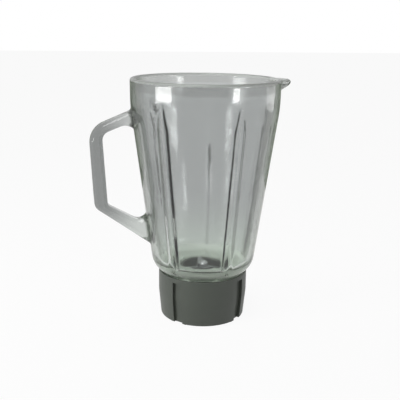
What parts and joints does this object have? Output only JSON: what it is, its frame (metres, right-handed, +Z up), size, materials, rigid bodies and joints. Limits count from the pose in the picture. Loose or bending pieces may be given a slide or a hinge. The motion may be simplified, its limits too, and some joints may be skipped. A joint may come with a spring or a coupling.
{
  "type": "blender jar",
  "caption": "Glass blender jar with an integral handle, pouring lip and pressed flutes, on a screw-on grey collar that holds the blade unit and seats it on a motor base.",
  "frame": {"origin": "on the jar's axis, in the plane that the collar stands on", "axes": "+Z up along the axis, -X to the handle, +X to the pouring lip"},
  "size_m": [0.1844, 0.1364, 0.225],
  "materials": {
    "pressed_glass": "gloss",
    "grey_plastic": "satin",
    "gasket_rubber": "matt",
    "holder_plastic": "satin",
    "bearing_bronze": "satin",
    "seal_rubber": "matt",
    "washer_plastic": "satin",
    "turned_steel": "turned",
    "cutter_steel": "brushed",
    "coupling_plastic": "satin"
  },
  "bodies": {
    "jar": {"glass_jar": "pressed_glass", "locking_collar": "grey_plastic", "jar_gasket": "gasket_rubber", "blade_holder": "holder_plastic", "upper_bush": "bearing_bronze", "lower_bush": "bearing_bronze", "shaft_seal": "seal_rubber", "thrust_washer": "washer_plastic"},
    "spindle": {"blade_shaft": "turned_steel", "lower_blade": "cutter_steel", "upper_blade": "cutter_steel", "blade_washer": "turned_steel", "blade_nut": "turned_steel", "lower_washer": "turned_steel", "retaining_clip": "turned_steel", "drive_coupling": "coupling_plastic"}
  },
  "joints": [
    {"name": "blade_spin", "type": "hinge", "parent": "jar", "child": "spindle", "pos_m": [0, 0, 0.03], "axis": [0, 0, 1], "continuous": true}
  ]
}
